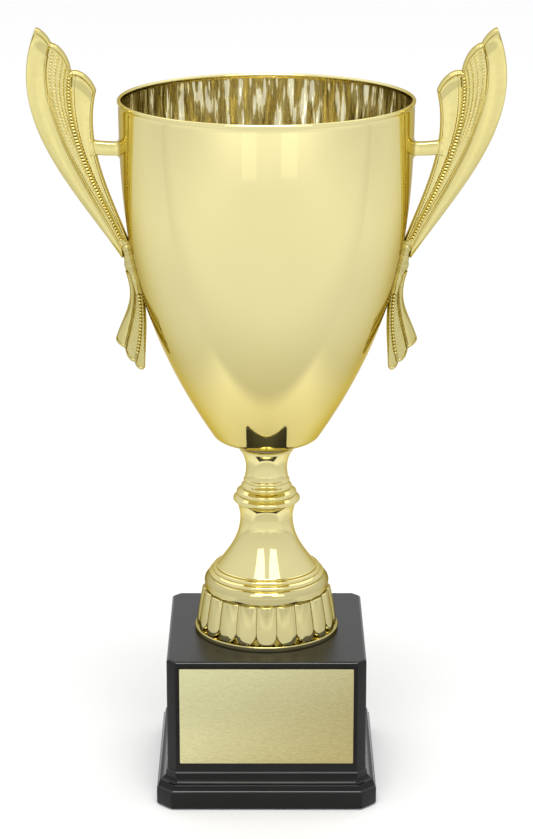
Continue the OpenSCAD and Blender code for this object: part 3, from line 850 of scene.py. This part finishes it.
def bead_ball(n=10, rings=6):
    """Unit ball as points and faces, poles along depth."""
    points = [(0, -1, 0)]
    for k in range(1, rings):
        a = math.pi * k / rings
        for i in range(n):
            b = TAU * i / n
            points.append((math.sin(a) * math.cos(b), -math.cos(a), math.sin(a) * math.sin(b)))
    points.append((0, 1, 0))
    faces = [[0, 1 + (i + 1) % n, 1 + i] for i in range(n)]
    faces += [[1 + k * n + i, 1 + k * n + (i + 1) % n, 1 + (k + 1) * n + (i + 1) % n,
               1 + (k + 1) * n + i] for k in range(rings - 2) for i in range(n)]
    last = len(points) - 1
    faces += [[last, last - n + i, last - n + (i + 1) % n] for i in range(n)]
    return np.array(points), faces


BALL_POINTS, BALL_FACES = bead_ball()


class Parts:
    """Collects separate shells into one mesh."""

    def __init__(self):
        self.points, self.faces, self.slots, self.count = [], [], [], 0

    def add(self, points, faces, slots=0):
        self.points.append(points)
        self.faces += [[i + self.count for i in f] for f in faces]
        self.slots += [slots] * len(faces) if isinstance(slots, int) else list(slots)
        self.count += len(points)


def add_beads(parts, path, spacing, size_at, depth, skew=0.0):
    """Row of beads along a path, on the front and the back."""
    places, headings = along(path, spacing)
    for i, (place, heading) in enumerate(zip(places, headings)):
        share = i / max(len(places) - 1, 1)
        long, wide, tall = size_at(share)
        side = np.array([-heading[1], heading[0]])
        lean = heading * math.cos(skew) + side * math.sin(skew)
        cross = np.array([-lean[1], lean[0]])
        for front in (-1, 1):
            flat = (BALL_POINTS[:, :1] * lean * long + BALL_POINTS[:, 2:] * cross * wide)
            y = front * depth + BALL_POINTS[:, 1] * tall
            ball = np.column_stack([flat[:, 0] + place[0], y, flat[:, 1] + place[1]])
            parts.add(ball, BALL_FACES)


def plume_relief(index, u, width, reach):
    """Half thickness of the three plume lobes: dished panels, lips, ribs and hatching."""
    from_a, from_b = u * width, (1 - u) * width
    half = 2.75 + 0 * reach - 0.5 * np.sin(math.pi * u) ** 0.8 * smoothstep(width, 1.5, 5.0)
    half = half + 0.75 * half_round(np.clip(reach, 0, 3), 1.2) * (reach < 1.2)
    half = half - 0.5 * smoothstep(reach, 1.2, 2.0) * (1 - smoothstep(reach, 2.6, 7.0)) * np.sin(
        math.pi * u) ** 0.6
    if index == 0:
        half = half + 0.45 * half_round(from_b + 0.55, 1.1) * (from_b < 0.55)
    if index == 1:
        half = half + 0.45 * half_round(from_a + 0.55, 1.1) * (from_a < 0.55)
        half = half + 0.25 * half_round(from_a - 1.0, 0.8) * (np.abs(from_a - 1.4) < 0.4)
        inside = smoothstep(from_a, 1.8, 2.4) * smoothstep(from_b, 0.9, 1.5)
        fade = smoothstep(reach, 1.6, 3.0) * (1 - 0.85 * smoothstep(reach, 22, 50))
        rows = np.cos(TAU * (reach + 0.5 * np.abs(np.mod(from_a, 2.6) - 1.3)) / 1.4)
        scales = rows * (0.55 + 0.45 * np.cos(TAU * from_a / 2.6))
        half = half + 0.30 * inside * fade * scales
    if index == 2:
        half = half + 0.4 * half_round(from_b, 1.2) * (from_b < 1.2)
        half = half - 0.45 * half_round(from_a - 0.9, 1.6) * (np.abs(from_a - 1.7) < 0.8)
    return half


def tail_relief(index, u, width, reach):
    """Half thickness of the three tail lobes, with deep grooves between them."""
    from_a, from_b = u * width, (1 - u) * width
    half = 2.6 + 0 * reach - 0.55 * np.sin(math.pi * u) ** 0.8 * smoothstep(width, 1.0, 4.0)
    half = half + 0.45 * half_round(np.clip(reach, 0, 3), 1.0) * (reach < 1.0)
    if index > 0:
        half = half + 0.7 * half_round(from_a + 0.6, 1.2) * (from_a < 0.6)
        half = half - 0.5 * (1 - smoothstep(from_a, 0.7, 1.5)) * (from_a > 0.6)
    if index < 2:
        half = half + 0.7 * half_round(from_b + 0.6, 1.2) * (from_b < 0.6)
    if index == 1:
        scales = np.cos(TAU * reach / 1.4) * np.cos(TAU * from_a / 2.0)
        half = half + 0.12 * scales * smoothstep(from_a, 0.8, 1.4) * smoothstep(from_b, 0.8, 1.4)
    return half


def bar_loft(stations, n=5, round_share=0.35):
    """Rounded bar through stations of (centre, half height, half depth, along direction)."""
    rings = []
    for centre, half_h, half_d, lean in stations:
        ring = rounded_rectangle(half_d, half_h, min(half_d, half_h) * round_share, n)
        up = np.array([-math.sin(lean), math.cos(lean)])
        flat = np.array(centre)[None, :] + ring[:, 1:] * up[None, :]
        rings.append(np.column_stack([flat[:, 0], ring[:, 0], flat[:, 1]]))
    return skin(rings)


def add_arm(parts):
    """Bridge arm between the plume's inner edge and the bowl's wall."""
    stations = []
    for t in np.linspace(0, 1, 15):
        out = -0.3 + 12.5 * t
        flare = 0.9 * smoothstep(t, 0.78, 1.0) + 0.5 * (1 - smoothstep(t, 0.0, 0.12))
        stations.append(((out, -21.9 + 0.7 * t - 0.25 * math.sin(math.pi * t)),
                         2.75 + 0.15 * t + flare, 2.6 + 0.5 * flare, 0.0))
    parts.add(*bar_loft(stations))


def add_knot(parts):
    """Wrapped collars between the plume and its tail, lying on the bowl's side."""
    stations = []
    path = [(-2.4, -62.0), (-3.4, -68.0), (-5.2, -75.0), (-7.6, -85.0)]
    for t in np.linspace(0, 1, 40):
        place = cubic(path, t)[0]
        swell = (0.65 * math.exp(-((t - 0.16) / 0.06) ** 2)
                 + 0.35 * math.exp(-((t - 0.34) / 0.05) ** 2)
                 + 0.95 * math.exp(-((t - 0.52) / 0.10) ** 2)
                 + 0.25 * math.exp(-((t - 0.80) / 0.06) ** 2))
        half_w = 1.75 + swell + 0.25 * math.sin(math.pi * t)
        stations.append((place, half_w, 3.1 + 1.1 * swell, -math.radians(104)))
    # slot 2: the knot in the painted-shade copy of the cast gold
    parts.add(*bar_loft(stations, 8, 0.92), 2)


def add_saddle(parts):
    """Thin pad at the arm's end that wraps the bowl's wall."""
    rows, columns = 24, 28
    p = np.linspace(-1, 1, rows)[:, None]
    q = np.linspace(-1, 1, columns)[None, :]
    up = -21.5 + 3.9 * p + 0 * q
    across = 5.0 * q + 0 * p
    thick = 0.55 * ((1 - np.abs(p) ** 6) * (1 - np.abs(q) ** 6)) ** 0.4
    wall = wall_radius(up + bowl_h)
    radius = wall + thick - 0.05
    front = np.stack([np.sqrt(radius**2 - across**2) - bowl_r, across, up], axis=-1)
    back = np.stack([np.sqrt((wall - 0.3) ** 2 - across**2) - bowl_r, across, up], axis=-1)
    count = rows * columns
    faces = grid_faces(rows, columns)
    faces += [f[::-1] for f in grid_faces(rows, columns, start=count)]
    loop = grid_border(rows, columns)
    for i, a in enumerate(loop):
        b = loop[(i + 1) % len(loop)]
        faces.append([int(b), int(a), int(a) + count, int(b) + count])
    parts.add(np.vstack([front.reshape(-1, 3), back.reshape(-1, 3)]), faces)


def build_handle(name, node, side):
    parts = Parts()
    v = np.concatenate([np.linspace(0, 0.06, 26)[:-1], np.linspace(0.06, 1, 330)])
    columns = 44
    lobes = [(PLUME_OUTER, RIB_OUTER, TIP_OUTER), (RIB_OUTER, RIB_INNER, TIP_MIDDLE),
             (RIB_INNER, PLUME_INNER, TIP_INNER)]
    points, half = feather(lobes, v, columns, plume_relief)
    vertices, faces, column_of = plated(points, half)
    middle = range(columns + 3, 2 * columns - 5)
    parts.add(vertices, faces, [1 if c in middle else 0 for c in column_of])

    v = np.concatenate([np.linspace(0, 0.1, 14)[:-1], np.linspace(0.1, 1, 120)])
    lobes = [(TAIL_OUTER, TAIL_RIB_OUTER, END_OUTER),
             (TAIL_RIB_OUTER, TAIL_RIB_INNER, END_MIDDLE),
             (TAIL_RIB_INNER, TAIL_INNER, END_INNER)]
    points, half = feather(lobes, v, 26, tail_relief)
    vertices, faces, column_of = plated(points, half)
    # slot 2: the tail in the painted-shade copy of the cast gold
    parts.add(vertices, faces, 2)

    add_beads(parts, curve(RIB_INNER, 120, 0.02, 0.985), 1.42,
              lambda s: (0.66, 0.95 + 0.65 * math.sin(math.pi * min(s * 1.1, 1)) ** 2, 1.3),
              3.15, skew=0.30)
    add_beads(parts, curve(RIB_OUTER, 60, 0.06, 0.40), 1.3, lambda s: (0.48, 0.40, 0.45), 3.35)
    add_beads(parts, curve(TAIL_RIB_INNER, 60, 0.10, 0.82), 1.5,
              lambda s: (0.60, 0.85, 0.9), 3.1, skew=0.35)
    add_arm(parts)
    add_knot(parts)
    add_saddle(parts)

    place = np.vstack(parts.points)
    place = place + np.array([bowl_r, 0, rim_z])
    faces = parts.faces
    if side < 0:
        place = place * np.array([-1, 1, 1])
        faces = [f[::-1] for f in faces]
    piece = solid_from(name, place, faces, parts.slots)
    sharpen(piece, 62)
    finish_piece(piece, [GOLD_CAST, GOLD_STIPPLE, GOLD_TAIL_PAINTED_SHADE], "cast_gold_metal", node)


# ------------------------------------------------------------------ stage

FLOOR_HALF = 9.0              # half the floor's side
FLOOR_FRONT = 0.63            # shade in front, which the polished bowl mirrors
FLOOR_BACK = 0.87             # shade behind, where the camera sees the floor
FLOOR_ASIDE = 0.70            # share of FLOOR_BACK left outside the camera's field
VIEW_Y = 1.14                 # about how far in front of the trophy the camera stands
VIEW_SPREAD = 0.105           # about half the width of its field, for each metre from it


def build_floor():
    """Matte floor whose shade is chosen for the camera's view, not that of one real surface.

    It is near white behind the trophy where the camera sees it. In front, and outside the
    camera's field, it is clearly deeper, because the polished bowl mirrors those parts.
    """
    s = Shader("pale_floor", Specular_IOR_Level=0.2)
    split = s.add("ShaderNodeSeparateXYZ")
    s.wire(s.place, split.inputs["Vector"])
    y = split.outputs["Y"]
    wide = s.math("ABSOLUTE", split.outputs["X"])
    in_view = s.math("MULTIPLY", s.math("ADD", y, VIEW_Y), VIEW_SPREAD)
    margin = s.math("SUBTRACT", wide, in_view)
    near = s.math("MULTIPLY", s.eased(y, -1.0, -0.30, 1.04, 0.99),
                  s.eased(y, -0.32, -0.10, 1.0, 0.90))
    far = s.eased(y, -1.9, -0.8, 1.48, 1.0)
    edge = s.eased(wide, 0.10, 0.80, 1.0, 1.14)
    front = s.math("MULTIPLY", s.math("MULTIPLY", near, edge),
                   s.math("MULTIPLY", far, FLOOR_FRONT))
    back = s.math("ADD", s.eased(margin, 0.005, 0.12, FLOOR_BACK, FLOOR_BACK * FLOOR_ASIDE),
                  s.eased(wide, 0.35, 0.80, 0.0, 0.11))
    back = s.math("MULTIPLY", back, s.eased(y, -0.02, 0.40, 0.96, 1.0))
    share = s.eased(y, -0.120, -0.082)
    shade = s.math("ADD", s.math("MULTIPLY", front, s.math("SUBTRACT", 1.0, share)),
                   s.math("MULTIPLY", share, back))
    drift = s.spread(s.noise(900, 2), 0.995, 1.005)
    s.wire(s.math("MULTIPLY", shade, drift), s.bsdf.inputs["Base Color"])
    s.rough(s.noise(400, 2), 0.75, 0.85)
    mesh = bpy.data.meshes.new("floor")
    sides = ((-1, -1), (1, -1), (1, 1), (-1, 1))
    corners = [(FLOOR_HALF * side_x, FLOOR_HALF * side_y, 0) for side_x, side_y in sides]
    mesh.from_pydata(corners, [], [(0, 1, 2, 3)])
    floor = link(mesh, "floor")
    floor.data.materials.append(s.material)


def build_world():
    """Plain surroundings, 0.95 overhead and falling to 0.80 at the horizon."""
    world = bpy.data.worlds.new("studio")
    world.use_nodes = True
    tree = world.node_tree
    background = tree.nodes["Background"]
    background.inputs["Strength"].default_value = 1.0
    place = tree.nodes.new("ShaderNodeTexCoord")
    split = tree.nodes.new("ShaderNodeSeparateXYZ")
    tree.links.new(place.outputs["Generated"], split.inputs["Vector"])
    ramp = tree.nodes.new("ShaderNodeValToRGB")
    shades = [(0.0, 0.80), (0.25, 0.84), (0.60, 0.90), (1.0, 0.95)]
    while len(ramp.color_ramp.elements) < len(shades):
        ramp.color_ramp.elements.new(0.5)
    for element, (position, shade) in zip(ramp.color_ramp.elements, shades):
        element.position = position
        element.color = (shade, shade, shade, 1)
    tree.links.new(split.outputs["Z"], ramp.inputs["Fac"])
    tree.links.new(ramp.outputs["Color"], background.inputs["Color"])
    bpy.context.scene.world = world


def soft_light(name, place, target, size, brightness):
    """Rectangular light that looks the given brightness, with 1.0 as paper white."""
    lamp = bpy.data.lights.new(name, "AREA")
    lamp.shape = "RECTANGLE"
    lamp.size, lamp.size_y = size
    lamp.energy = brightness * math.pi * size[0] * size[1]
    light = bpy.data.objects.new(name, lamp)
    bpy.context.scene.collection.objects.link(light)
    across = np.array(target, float) - np.array(place, float)
    light.location = place
    light.rotation_euler = (
        math.atan2(math.hypot(across[0], across[1]), -across[2]),
        0,
        math.atan2(-across[0], across[1]),
    )


def build_camera():
    """Long lens, a little above the bowl's mouth, pitched down on to the base."""
    camera = bpy.data.cameras.new("camera")
    camera.lens = 115.85
    camera.sensor_width = 36.0
    view = bpy.data.objects.new("camera", camera)
    view.location = (0.0, -1.138, 0.510)
    view.rotation_euler = (math.radians(90 - 16.85), 0, 0)
    bpy.context.scene.collection.objects.link(view)
    bpy.context.scene.camera = view


build_camera()
build_world()
build_floor()
for light_name, light_place, light_target, light_size, light_brightness in (
    ("strip_left", (-0.47, -1.20, 1.40), (0, 0, 0.15), (0.62, 1.00), 1.25),
    ("strip_right", (0.54, -1.15, 1.40), (0, 0, 0.15), (0.62, 1.00), 1.25),
    ("front_overhead", (0, -0.62, 1.90), (0, -0.02, 0.10), (0.90, 0.50), 10.0),
    ("backdrop_wash", (0, 2.30, 2.80), (0, 2.30, 0), (4.0, 3.0), 0.55),
    # two low cards, mirrored as the pair of pale patches below the bowl's mouth
    ("low_card_left", (-0.180, -0.80, 0.121), (0, 0, 0.30), (0.155, 0.088), 0.09),
    ("low_card_right", (0.242, -0.80, 0.121), (0, 0, 0.30), (0.175, 0.088), 0.09),
):
    soft_light(light_name, light_place, light_target, light_size, light_brightness)
bpy.context.scene.view_settings.view_transform = "Standard"

build_bowl()
build_riser()
build_knuckle()
build_spool()
build_base()
build_plate()
build_handle("plume_handle_left", "handle_left", -1)
build_handle("plume_handle_right", "handle_right", 1)
